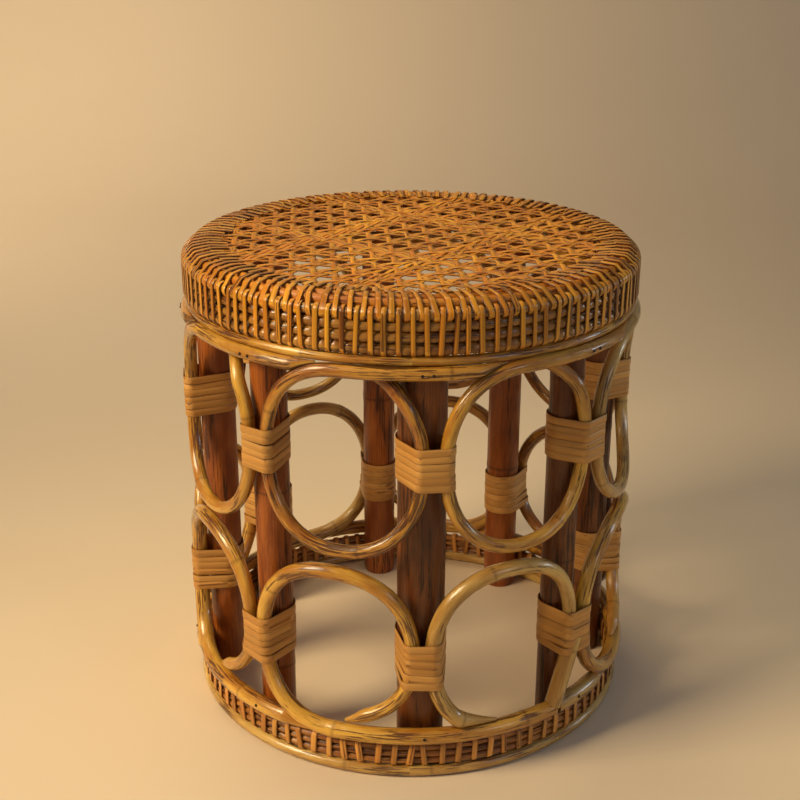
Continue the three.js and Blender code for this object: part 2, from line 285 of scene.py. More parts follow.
class Workshop:
    """Shader groups that more than one finish uses, each built once."""

    def __init__(self) -> None:
        """Build the groups."""
        place = {"Place": "Vector"}
        bark = {"Amount": "Float", "Per length": "Float", "Per girth": "Float"}
        self.fibres = self._group("Cane fibres", place | {"Fineness": "Float"}, "Streak", self._fibres)
        self.bark = self._group("Bark streaks", place | bark, "Streak", self._bark)
        self.mottle = self._group("Mottle", place, "Patch", self._mottle)
        self.joints = self._group("Cane joints", place | {"Spacing": "Float"}, "Ring", self._joints)
        self.ageing = self._group("Ageing", place | {"Scale": "Float"}, "Shade", self._ageing)

    @staticmethod
    def _group(
        name: str,
        inputs: dict[str, str],
        output: str,
        fill: Callable[[NodeBoard, bpy.types.bpy_prop_collection], Socket],
    ) -> bpy.types.NodeTree:
        """Build one group.

        Args:
            name: The group's name.
            inputs: The kind of each input socket, by its title.
            output: The title of its output.
            fill: Adds its nodes to a board, from the inputs, and returns the value to put out.

        Returns:
            The group.
        """
        tree = bpy.data.node_groups.new(name, "ShaderNodeTree")
        for title, kind in inputs.items():
            tree.interface.new_socket(title, in_out="INPUT", socket_type="NodeSocket" + kind)
        tree.interface.new_socket(output, in_out="OUTPUT", socket_type="NodeSocketFloat")
        entry = tree.nodes.new("NodeGroupInput")
        leave = tree.nodes.new("NodeGroupOutput")
        board = NodeBoard(tree)
        board.feed(leave, {output: fill(board, entry.outputs)})
        return tree

    @staticmethod
    def _fibres(board: NodeBoard, entry: bpy.types.bpy_prop_collection) -> Socket:
        """Draw the fine streaks that run along a cane."""
        place = board.scaled(entry["Place"], 18.0, entry["Fineness"])
        return board.stretch(board.noise(place, 1.0, 3.0), 0.3, 0.72)

    @staticmethod
    def _bark(board: NodeBoard, entry: bpy.types.bpy_prop_collection) -> Socket:
        """Draw the dark bark streaks, long along the cane and in patches.

        Args:
            board: Where its nodes are added.
            entry: The group's inputs.

        Returns:
            Their strength at a place.
        """
        place = board.scaled(entry["Place"], entry["Per length"], entry["Per girth"], 3.7)
        fine = board.noise(place, 1.0, 4.0, 0.62)
        coarse = board.noise(board.scaled(place, 0.4, 0.11, 9.1), 1.0)
        mask = board.math("MULTIPLY", board.stretch(coarse, 0.4, 0.62), 0.2)
        limit = board.math("SUBTRACT", 0.8, board.math("MULTIPLY", entry["Amount"], 0.3))
        above = board.math("SUBTRACT", board.math("ADD", fine, mask), limit)
        return board.stretch(above, -0.03, 0.07)

    @staticmethod
    def _mottle(board: NodeBoard, entry: bpy.types.bpy_prop_collection) -> Socket:
        """Draw the soft patches, longer along the cane than across."""
        place = board.scaled(entry["Place"], 24.0, 110.0, 6.3)
        return board.stretch(board.noise(place, 1.0, 4.0, 0.6), 0.34, 0.66)

    @staticmethod
    def _joints(board: NodeBoard, entry: bpy.types.bpy_prop_collection) -> Socket:
        """Draw the thin dark rings of a cane's joints.

        Args:
            board: Where its nodes are added.
            entry: The group's inputs.

        Returns:
            Their strength at a place.
        """
        wobble = board.math("SUBTRACT", board.noise(entry["Place"], 90.0), 0.5)
        axes = board.add("SeparateXYZ", {0: entry["Place"]}).outputs
        along = board.math("ADD", axes[0], board.math("MULTIPLY", wobble, 0.002))
        turns = board.math("DIVIDE", along, entry["Spacing"])
        off = board.math("ABSOLUTE", board.math("SUBTRACT", turns, board.math("ROUND", turns)))
        gap = board.math("MULTIPLY", off, entry["Spacing"])
        return board.math("SUBTRACT", 1.0, board.stretch(gap, 0.0, 0.0022))

    @staticmethod
    def _ageing(board: NodeBoard, entry: bpy.types.bpy_prop_collection) -> Socket:
        """Draw the slow changes of tone over the whole stool."""
        return board.stretch(board.noise(entry["Place"], entry["Scale"]), 0.32, 0.68)


def start_material(name: str) -> tuple[Material, NodeBoard, bpy.types.Node]:
    """Start a material.

    Args:
        name: The material's name.

    Returns:
        The material, a board on its nodes and its shader.
    """
    material = bpy.data.materials.new(name)
    material.use_nodes = True
    board = NodeBoard(material.node_tree)
    return material, board, board.tree.nodes["Principled BSDF"]


@dataclass(frozen=True)
class CaneFinish:
    """A varnished cane finish: its colours, how much bark is left on it, and its gloss."""

    name: str
    light: Colour
    body: Colour
    dark: Colour
    bark: float
    per_length: float = 50.0
    per_girth: float = 950.0
    fineness: float = 2200.0
    joint_strength: float = 0.0
    roughness: float = 0.4
    coat: float = 0.15
    coat_roughness: float = 0.16
    gloss: float = 0.4
    relief: float = 0.0003
    relief_strength: float = 0.7
    tone_spread: float = 0.0
    edge_shade: float = 0.0
    fibre_share: float = 0.3
    bark_share: float = 0.85
    ageing_share: float = 0.4
    ageing_scale: float = 9.0
    deep_share: float = 0.45
    matting: float = 0.07
    polish: float = 0.05
    fibre_height: float = -0.5
    bark_depth: float = 0.4
    tone_middle: float = 0.6

    def build(self, shop: Workshop) -> Material:
        """Make the finish.

        Args:
            shop: The shader groups that it is made from.

        Returns:
            The finish as a material.
        """
        material, board, shader = start_material(self.name)
        place = board.add("TexCoord").outputs
        along = place["UV"]
        streak = board.group(shop.fibres, {"Place": along, "Fineness": self.fineness})
        growth = {"Amount": self.bark, "Per length": self.per_length, "Per girth": self.per_girth}
        bark = board.group(shop.bark, {"Place": along, **growth})
        patch = board.group(shop.mottle, {"Place": along})
        ring = board.group(shop.joints, {"Place": along, "Spacing": SIZES.joint_spacing})
        shade = board.group(shop.ageing, {"Place": place["Object"], "Scale": self.ageing_scale})
        joint = board.math("MULTIPLY", ring, self.joint_strength)
        deep = tuple(lerp(part, low, self.deep_share) for part, low in zip(self.body, self.dark))
        layers = [
            (board.math("MULTIPLY", shade, self.ageing_share), deep),
            (board.math("MULTIPLY", streak, self.fibre_share), deep),
            (board.math("MULTIPLY", bark, self.bark_share), self.dark),
            (joint, self.dark),
        ]
        # Painted shade: the faces marked as a strip's edges are mixed towards the dark colour, standing
        # for the shade in the gaps between strips.
        if self.edge_shade:
            layers.append((board.mark("edge", self.edge_shade), self.dark))
        colour = board.mix(patch, self.body, self.light)
        for share, tint in layers:
            colour = board.mix(share, colour, tint)
        if self.tone_spread:
            darkest = 1.0 - self.tone_spread * self.tone_middle
            value = board.math("ADD", board.mark("tone", self.tone_spread), darkest)
            colour = board.add("HueSaturation", {"Value": value, "Color": colour}).outputs[0]
        matt = board.math("MULTIPLY", board.math("ADD", bark, streak), self.matting)
        height = board.math("SUBTRACT", board.math("MULTIPLY", streak, self.fibre_height), joint)
        height = board.math("SUBTRACT", height, board.math("MULTIPLY", bark, self.bark_depth))
        bump = {"Height": height, "Distance": self.relief, "Strength": self.relief_strength}
        board.feed(shader, {
            "Base Color": colour,
            "Roughness": board.math("ADD", matt, self.roughness - self.polish),
            "Normal": board.add("Bump", bump).outputs[0],
            "Specular IOR Level": self.gloss,
            "Coat Weight": self.coat,
            "Coat Roughness": self.coat_roughness,
        })
        return material


@dataclass(frozen=True)
class PlainFinish:
    """A finish whose colour drifts between two tones over the piece."""

    name: str
    first: Colour
    second: Colour
    scale: float
    roughness: float
    metallic: float = 0.0
    gloss: float = 0.5

    def build(self) -> Material:
        """Make the finish.

        Returns:
            The finish as a material.
        """
        material, board, shader = start_material(self.name)
        drift = board.noise(board.add("TexCoord").outputs["Object"], self.scale)
        board.feed(shader, {
            "Base Color": board.mix(drift, self.first, self.second),
            "Metallic": self.metallic,
            "Roughness": self.roughness,
            "Specular IOR Level": self.gloss,
        })
        return material


FLOOR_PAPER = PlainFinish("floor paper", srgb(226, 204, 172), srgb(233, 212, 182), 1.4, 0.9, gloss=0.2)
NAIL_STEEL = PlainFinish("nail steel", srgb(40, 32, 26), srgb(92, 70, 50), 900.0, 0.5, metallic=0.8)


class Look(Enum):
    """The finishes of the stool's canes."""

    NET = CaneFinish(
        "seat weave", srgb(255, 184, 46), srgb(224, 132, 22), srgb(100, 42, 3),
        bark=0.2, tone_spread=0.42, edge_shade=0.72, roughness=0.38, coat=0.2,
    )
    WRAP = CaneFinish(
        "flat cane wrap", srgb(250, 180, 50), srgb(210, 128, 22), srgb(80, 32, 2),
        bark=0.25, tone_spread=0.45, edge_shade=0.8, roughness=0.34, coat=0.3,
    )
    BASE_WRAP = CaneFinish(
        "base cane wrap", srgb(240, 174, 82), srgb(204, 132, 52), srgb(88, 40, 8),
        bark=0.2, tone_spread=0.4, edge_shade=0.6,
    )
    BINDING = CaneFinish(
        "pale binding cane", srgb(232, 174, 92), srgb(202, 142, 66), srgb(110, 62, 22),
        bark=0.06, tone_spread=0.24, edge_shade=0.45, roughness=0.46, coat=0.08,
    )
    ROD = CaneFinish(
        "golden rod", srgb(242, 188, 74), srgb(186, 122, 36), srgb(80, 36, 9),
        bark=0.42, joint_strength=0.35, roughness=0.2, coat=0.7,
    )
    FLECKED_ROD = CaneFinish(
        "flecked rod", srgb(232, 170, 62), srgb(166, 96, 27), srgb(60, 24, 6),
        bark=0.66, joint_strength=0.4, roughness=0.2, coat=0.7,
    )
    PALE_ROD = CaneFinish(
        "pale rod", srgb(234, 192, 102), srgb(182, 132, 58), srgb(80, 44, 15),
        bark=0.36, joint_strength=0.35, roughness=0.2, coat=0.7,
    )
    # Painted shade: darker than the ring rods, for the rods that lie sunk between the rim's uprights.
    RIM_ROD = CaneFinish(
        "rim rod", srgb(206, 146, 56), srgb(146, 88, 26), srgb(54, 22, 5),
        bark=0.42, roughness=0.24, coat=0.5,
    )
    BASE_ROD = CaneFinish(
        "thin base rod", srgb(204, 140, 62), srgb(144, 84, 28), srgb(58, 25, 7),
        bark=0.42, roughness=0.34,
    )
    # Painted shade: the two rods under the crown get a redder copy of the rod finish, which stands for the
    # warm shade in the gaps between the crown's strips.
    SHADED_CROWN_ROD = CaneFinish(
        "shaded crown rod", srgb(238, 158, 40), srgb(200, 114, 18), srgb(112, 48, 4),
        bark=0.3, roughness=0.4, coat=0.1,
    )
    POST = CaneFinish(
        "scorched post", srgb(146, 82, 32), srgb(100, 50, 17), srgb(38, 16, 5),
        bark=0.42, per_length=26.0, per_girth=520.0, fineness=1100.0, joint_strength=0.5,
        roughness=0.34, coat=0.2, gloss=0.35, relief=0.0005, fibre_share=0.5,
    )
    WARM_POST = replace(
        POST, name="reddish post", light=srgb(190, 106, 38), body=srgb(140, 68, 20),
        dark=srgb(56, 23, 6), bark=0.3,
    )


Looks = dict[Look, Material]


def make_finishes() -> Looks:
    """Build each cane finish once and return the materials."""
    shop = Workshop()
    return {look: look.value.build(shop) for look in Look}


def select_only(pieces: list[Piece]) -> None:
    """Select the pieces and nothing else, the first one active.

    Args:
        pieces: The pieces.
    """
    bpy.ops.object.select_all(action="DESELECT")
    for piece in pieces:
        piece.select_set(True)
    bpy.context.view_layer.objects.active = pieces[0]


def pace(route: Route, spacing: float) -> list[tuple[int, float]]:
    """Find places at about even distances along a route.

    Args:
        route: An open route.
        spacing: How far apart the places are, about.

    Returns:
        Each place as the number of a span of the route and a share of that span.
    """
    lengths = [0.0]
    for before, after in zip(route, route[1:]):
        lengths.append(lengths[-1] + (after - before).length)
    steps = max(2, round(lengths[-1] / spacing))
    places = []
    span = 0
    for step in range(steps + 1):
        target = lengths[-1] * step / steps
        while span < len(route) - 2 and lengths[span + 1] < target:
            span += 1
        length = lengths[span + 1] - lengths[span]
        places.append((span, (target - lengths[span]) / length if length else 0.0))
    return places


def points_at(route: Route, places: list[tuple[int, float]]) -> Route:
    """Return a route's points at places that pace found."""
    return [route[span].lerp(route[span + 1], share) for span, share in places]


def round_off(route: Route) -> Route:
    """Return an open route with its corners eased."""
    corners = zip(route, route[1:], route[2:])
    return [route[0], *((before + point * 2 + after) / 4 for before, point, after in corners), route[-1]]


def route_length(route: Route, closed: bool) -> float:
    """Return the length of a route, with the span back to its start if it is closed."""
    total = sum((after - before).length for before, after in zip(route, route[1:]))
    return total + ((route[0] - route[-1]).length if closed else 0.0)


def close_surface(piece: Piece) -> None:
    """Join the points that lie on each other, turn the faces outwards and smooth the shading.

    Args:
        piece: The piece, changed in place.
    """
    select_only([piece])
    bpy.ops.object.mode_set(mode="EDIT")
    bpy.ops.mesh.select_all(action="SELECT")
    bpy.ops.mesh.remove_doubles(threshold=DOUBLE_DISTANCE)
    bpy.ops.mesh.normals_make_consistent(inside=False)
    bpy.ops.object.mode_set(mode="OBJECT")
    bpy.ops.object.shade_smooth_by_angle(angle=SMOOTH_ANGLE)


def draw_curve(name: str, route: Route, closed: bool) -> Piece:
    """Draw a curve of straight spans.

    Args:
        name: The piece's name.
        route: The points that it joins.
        closed: Whether it comes back to its start.

    Returns:
        The curve, still without a section.
    """
    bpy.ops.object.select_all(action="DESELECT")
    bpy.ops.curve.primitive_nurbs_path_add()
    piece = bpy.context.object
    piece.name = name
    piece.data.splines.clear()
    spline = piece.data.splines.new("POLY")
    spline.points.add(len(route) - 1)
    for knot, point in zip(spline.points, route):
        knot.co = (*point, 1.0)
    spline.use_cyclic_u = closed
    return piece


def turn_to_mesh(length: float, girth: float, start: float) -> Piece:
    """Turn the selected curve into a mesh with its own UV map, in metres along and round the cane.

    Args:
        length: The curve's length.
        girth: The way round its section.
        start: Where along the cane its grain starts.

    Returns:
        The mesh.
    """
    bpy.ops.object.convert(target="MESH")
    piece = bpy.context.object
    for corner in piece.data.uv_layers[0].data:
        corner.uv = (start + corner.uv[0] * length, corner.uv[1] * girth)
    return piece


def bend_rod(
    name: str, route: Route, radii: list[float], start: float, closed: bool = False, fullness: int = 4
) -> Piece:
    """Bend a round rod along a route.

    Args:
        name: The piece's name.
        route: Points along its middle.
        radii: Its radius at each point.
        start: Where along the cane its grain starts.
        closed: Whether it closes into a hoop.
        fullness: How finely its section is rounded.

    Returns:
        The rod as a mesh.
    """
    curve = draw_curve(name, route, closed).data
    for knot, radius in zip(curve.splines[0].points, radii):
        knot.radius = radius
    curve.twist_mode = "MINIMUM"
    curve.bevel_depth = 1.0
    curve.bevel_resolution = fullness
    curve.use_fill_caps = not closed
    girth = FULL_TURN * sum(radii) / len(radii)
    piece = turn_to_mesh(route_length(route, closed), girth, start)
    close_surface(piece)
    return piece


def move_points(piece: Piece, place: Place) -> None:
    """Move each point of a piece.

    Args:
        piece: The piece, changed in place.
        place: Gives the new place of a point.
    """
    for point in piece.data.vertices:
        point.co = place(point.co)
    piece.data.update()


@dataclass(frozen=True)
class Strip:
    """A flat strip of cane, of one width, along an outline that is drawn in one plane.

    The start is where along the cane its grain starts. A closed strip comes back to its start.
    Faces that lean out of the plane by more than the edge normal are marked as its edges.
    """

    outline: Outline
    width: float
    thickness: float
    start: float
    closed: bool = True
    edge_normal: float = 0.4

    def lay(self, place: Place, tone: float) -> Piece:
        """Lay the strip.

        Args:
            place: Gives the place on the stool of a point of the strip in its own plane.
            tone: The strip's own tone, from zero for a dark one to one for a light one.

        Returns:
            The strip as a mesh, with its edges marked and its tone set.
        """
        route = [Vector((across, up, 0.0)) for across, up in self.outline]
        curve = draw_curve("strip", route, self.closed).data
        curve.dimensions = "2D"
        curve.fill_mode = "NONE"
        curve.extrude = self.width / 2 - self.thickness / 2
        curve.bevel_depth = self.thickness / 2
        curve.bevel_resolution = 0
        piece = turn_to_mesh(route_length(route, self.closed), 2 * self.width, self.start)
        edge = piece.data.attributes.new("edge", "FLOAT", "FACE")
        for face, mark in zip(piece.data.polygons, edge.data):
            mark.value = 1.0 if abs(face.normal.z) > self.edge_normal else 0.0
        move_points(piece, place)
        tones = piece.data.attributes.new("tone", "FLOAT", "POINT")
        tones.data.foreach_set("value", [tone] * len(piece.data.vertices))
        return piece


def gather(name: str, pieces: list[Piece]) -> Piece:
    """Join pieces into one with its object at the origin.

    Args:
        name: The name that the whole gets.
        pieces: The pieces.

    Returns:
        The whole.
    """
    select_only(pieces)
    bpy.ops.object.join()
    whole = bpy.context.object
    bpy.ops.object.transform_apply(location=True, rotation=True, scale=True)
    whole.name = name
    whole.data.name = name
    close_surface(whole)
    return whole


def dress(piece: Piece, material: Material, slot: Slot, replaced: list[str]) -> None:
    """Give a piece its finish and its place on the body, and report it.

    Args:
        piece: The piece.
        material: Its finish.
        slot: The record's slot that the finish belongs to. It is not used.
        replaced: The CAD nodes that it stands for.
    """
    piece.data.materials.clear()
    piece.data.materials.append(material)
    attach(piece, "root")
    if replaced:
        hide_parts(*replaced)
    LOG.info("%s: %d faces", piece.name, len(piece.data.polygons))


def hull_outline(rods: list[Bundle], offset: float, steps: int) -> Outline:
    """Find the outline of a strip pulled tight round a bundle of rods.

    Args:
        rods: The rods in section.
        offset: How far the strip's middle lies off the rods.
        steps: How many points the outline has.

    Returns:
        The outline, each point across and up the section.
    """
    outline = []
    for step in range(steps):
        angle = FULL_TURN * (step + 0.5) / steps
        along, up = math.cos(angle), math.sin(angle)
        rod = max(rods, key=lambda one: one.radius * along + one.height * up + one.rod)
        reach = rod.rod + offset
        outline.append((rod.radius + reach * along, rod.height + reach * up))
    return outline


def jointed_radii(route: Route, radius: float, start: float, swell: float) -> list[float]:
    """Find radii that swell a little at each joint of the cane.

    Args:
        route: Points along the cane's middle.
        radius: Its radius between joints.
        start: Where along the cane the route starts.
        swell: How much thicker a joint is, as a share of the radius.

    Returns:
        The radius at each point.
    """
    radii = []
    travelled = start
    before = route[0]
    for point in route:
        travelled += (point - before).length
        before = point
        turns = travelled / SIZES.joint_spacing
        gap = abs(turns - round(turns)) * SIZES.joint_spacing
        radii.append(radius * (1.0 + swell * math.exp(-((gap / SIZES.joint_reach) ** 2))))
    return radii


@dataclass(frozen=True)
class Hoop:
    """A round rod that runs all the way round the stool.

    The seed sets its unevenness and its joints, and the bulge is how far it swells between the
    wraps that press it in. It wobbles in and out, and a share of that up and down.
    """

    node: str
    section: Bundle
    seed: int
    look: Look
    bulge: float = 0.0
    spacing: float = 0.006
    bulge_spacing: float = 0.0016
    wobble: float = 0.0002
    wobble_rise: float = 0.5
    waves: int = 3
    swell: float = 0.04
    grain_step: float = 0.31

    def build(self, looks: Looks) -> None:
        """Bend the hoop, a little uneven as a hand-bent rod is, and dress it.

        Args:
            looks: The finishes, by look.
        """
        spacing = self.bulge_spacing if self.bulge else self.spacing
        steps = round(FULL_TURN * self.section.radius / spacing)
        shift = random.Random(self.seed).random() * FULL_TURN
        route = []
        for step in range(steps):
            turn = FULL_TURN * step / steps
            uneven = self.wobble * math.sin(self.waves * turn + shift)
            height = self.section.height + uneven * self.wobble_rise
            route.append(polar(turn, self.section.radius + uneven, height))
        start = self.seed * self.grain_step
        radii = jointed_radii(route, self.section.rod, start, self.swell)
        if self.bulge:
            radii = [self._bulged(radius, point) for radius, point in zip(radii, route)]
        piece = bend_rod("round_" + self.node, route, radii, start, closed=True)
        dress(piece, looks[self.look], Slot.ROD, [self.node])

    def _bulged(self, radius: float, point: Vector) -> float:
        """Return the radius at a point, pressed in under each wrap and bulging between them."""
        return radius + self.bulge * (0.5 - 0.5 * math.cos(SIZES.wrap_count * turn_of(point)))


@dataclass
class Hoops:
    """The hoops of the rim, the lip and the base.

    The lip hoop is thicker by the crush, so that the tails of the rings press into it.
    """

    rim_bulges: tuple[float, ...] = (0.0009, 0.0004, 0.0004, 0.0004, 0.0, 0.0)
    # Both finishes carry painted shade: the side rods' for the shade between the uprights, the crown rods'
    # for the gaps between the crown's strips.
    rim_looks: tuple[Look, ...] = (Look.RIM_ROD,) * 4 + (Look.SHADED_CROWN_ROD,) * 2
    lip_crush: float = 0.0005
    floor_gap: float = 0.0003
    base_seed: int = 7
    floor_seed: int = 11
    lip_seed: int = 12

    def build(self, looks: Looks) -> None:
        """Make the hoops and dress them.

        Args:
            looks: The finishes, by look.
        """
        rims = zip(RIM_NODES, SIZES.rim_bundle(), range(len(RIM_NODES)), self.rim_looks, self.rim_bulges)
        hoops = [Hoop(*rim) for rim in rims]
        for index, (node, rod) in enumerate(zip(BASE_NODES, SIZES.base_bundle())):
            hoops.append(Hoop(node, rod, self.base_seed + index, Look.BASE_ROD))
        half = SIZES.base_hoop_half
        floor = Bundle(SIZES.ring_face + SIZES.base_hoop_rod, half + self.floor_gap, half)
        height = SIZES.rim_underside - SIZES.clearance - SIZES.lip_rod
        lip = Bundle(SIZES.ring_face + SIZES.lip_rod, height, SIZES.lip_rod + self.lip_crush)
        hoops.append(Hoop("base_hoop", floor, self.floor_seed, Look.PALE_ROD))
        hoops.append(Hoop("lip_hoop", lip, self.lip_seed, Look.ROD))
        for hoop in hoops:
            hoop.build(looks)


@dataclass(frozen=True)
class Winding:
    """Flat cane wound round a bundle of rods many times, each turn laid by hand.

    The first turn starts at a share of a pitch, and the slant is how far a turn leans from its
    outer to its inner side, in pitches. A turn's own sway and shift are in pitches too, and the
    width and slant shares are the ranges that its own width and slant are drawn from.
    """

    name: str
    look: Look
    nodes: list[str]
    rods: list[Bundle]
    count: int
    width: float
    first: float = 0.0
    slant: float = 0.0
    points: int = 24
    thickness: float = 0.0009
    seed: int = 5
    grain_step: float = 1.37
    depth: float = 0.022
    headroom: float = 0.004
    sway: float = 0.19
    shift: float = 0.09
    width_shares: tuple[float, float] = (0.88, 1.1)
    slant_shares: tuple[float, float] = (0.75, 1.2)

    def build(self, looks: Looks) -> None:
        """Wind all turns as one piece and dress it.

        Args:
            looks: The finishes, by look.
        """
        chance = random.Random(self.seed + self.count)
        outline = hull_outline(self.rods, SIZES.clearance + self.thickness / 2, self.points)
        pitch = FULL_TURN / self.count
        outer = max(rod.radius for rod in self.rods)
        low = min(rod.height for rod in self.rods)
        rise = max(rod.height for rod in self.rods) - low + self.headroom
        turns = []
        for index in range(self.count):
            width = self.width * chance.uniform(*self.width_shares)
            lean = self.slant * chance.uniform(*self.slant_shares) * pitch
            sway = chance.uniform(-self.sway, self.sway) * pitch
            middle = (index + self.first + chance.uniform(-self.shift, self.shift)) * pitch

            def place(point: Vector) -> Vector:
                """Lay a point of this turn on the stool.

                Args:
                    point: The point, in the plane of its outline.

                Returns:
                    Its place on the stool.
                """
                inward = (outer - point.x) / self.depth
                turn = middle + lean * inward + sway * (point.y - low) / rise
                return polar(turn + point.z / point.x, point.x, point.y)

            strip = Strip(outline, width, self.thickness, index * self.grain_step)
            turns.append(strip.lay(place, chance.random()))
        dress(gather(self.name, turns), looks[self.look], Slot.WRAP, self.nodes)


@dataclass(frozen=True)
class CrownEnds:
    """The inner ends of the crown's strips, which run on over the edge of the weave.

    They start where the crown's turns have leant to, and the lean and shift are in pitches.
    """

    outer: float = 0.1465
    inner: float = 0.1335
    height: float = 0.3481
    drop: float = 0.0014
    width: float = 0.0043
    thickness: float = 0.00072
    first: float = 0.5 - 0.42
    spans: int = 8
    seed: int = 5
    grain_step: float = 0.77
    drop_power: float = 1.5
    shift: float = 0.1
    leans: tuple[float, float] = (0.1, 0.4)
    inner_strays: tuple[float, float] = (-0.003, 0.0035)
    width_shares: tuple[float, float] = (0.82, 1.02)

    def build(self, looks: Looks) -> None:
        """Lay the ends and dress them.

        Args:
            looks: The finishes, by look.
        """
        chance = random.Random(self.seed)
        pitch = FULL_TURN / SIZES.wrap_count
        ends = []
        for index in range(SIZES.wrap_count):
            inner = self.inner + chance.uniform(*self.inner_strays)
            length = self.outer - inner
            outline = []
            for step in range(self.spans + 1):
                share = step / self.spans
                height = self.height - self.drop * (1 - share) ** self.drop_power
                outline.append((inner + length * share, height))
            width = self.width * chance.uniform(*self.width_shares)
            middle = (index + self.first + chance.uniform(-self.shift, self.shift)) * pitch
            lean = chance.uniform(*self.leans) * pitch

            def place(point: Vector) -> Vector:
                """Return the place on the stool of a point of this end."""
                turn = middle - lean * (self.outer - point.x) / length
                return polar(turn + point.z / point.x, point.x, point.y)

            strip = Strip(outline, width, self.thickness, index * self.grain_step, closed=False)
            ends.append(strip.lay(place, chance.random()))
        dress(gather("rim_crown_ends", ends), looks[Look.WRAP], Slot.WRAP, [])


@dataclass
class Wraps:
    """Flat cane wound round the rim and the base band."""

    upright_width: float = 0.0039
    crown_width: float = 0.0043
    base_width: float = 0.0046
    base_count: int = 90
    side_rods: int = 4
    crown_first: float = 0.5
    crown_slant: float = -0.5
    base_slant: float = 0.2
    base_points: int = 16

    def build(self, looks: Looks) -> None:
        """Wind the rim's sides, the rim's crown and the base band, and dress them.

        Args:
            looks: The finishes, by look.
        """
        rim = SIZES.rim_bundle()
        count = SIZES.wrap_count
        side = rim[: self.side_rods]
        crown = rim[self.side_rods - 1 :]
        nodes = [f"rim_winding_{index}" for index in range(1, 5)]
        Winding("rim_uprights", Look.WRAP, nodes[:2], side, count, self.upright_width).build(looks)
        Winding(
            "rim_crown", Look.WRAP, nodes[2:], crown, count, self.crown_width,
            first=self.crown_first, slant=self.crown_slant,
        ).build(looks)
        CrownEnds(width=self.crown_width).build(looks)
        nodes = [f"base_winding_{index}" for index in range(1, 5)]
        band = SIZES.base_bundle()
        Winding(
            "base_wraps", Look.BASE_WRAP, nodes, band, self.base_count, self.base_width,
            slant=self.base_slant, points=self.base_points,
        ).build(looks)


@dataclass(frozen=True)
class Rows:
    """The lines that strands of one direction follow, evenly spaced across the seat."""

    degrees: float
    first: float
    pitch: float

    @property
    def direction(self) -> float:
        """Return the direction in radians."""
        return math.radians(self.degrees)

    def across(self, point: Vector) -> float:
        """Return how far a point is past the first row, in pitches."""
        offset = -point.x * math.sin(self.direction) + point.y * math.cos(self.direction)
        return (offset - self.first) / self.pitch

    def offsets(self, limit: float) -> list[float]:
        """Find where the rows lie.

        Args:
            limit: How far from the middle of the seat rows may lie.

        Returns:
            Their distances from the middle of the seat.
        """
        low = math.ceil((-limit - self.first) / self.pitch)
        high = math.floor((limit - self.first) / self.pitch)
        return [self.first + row * self.pitch for row in range(low, high + 1)]


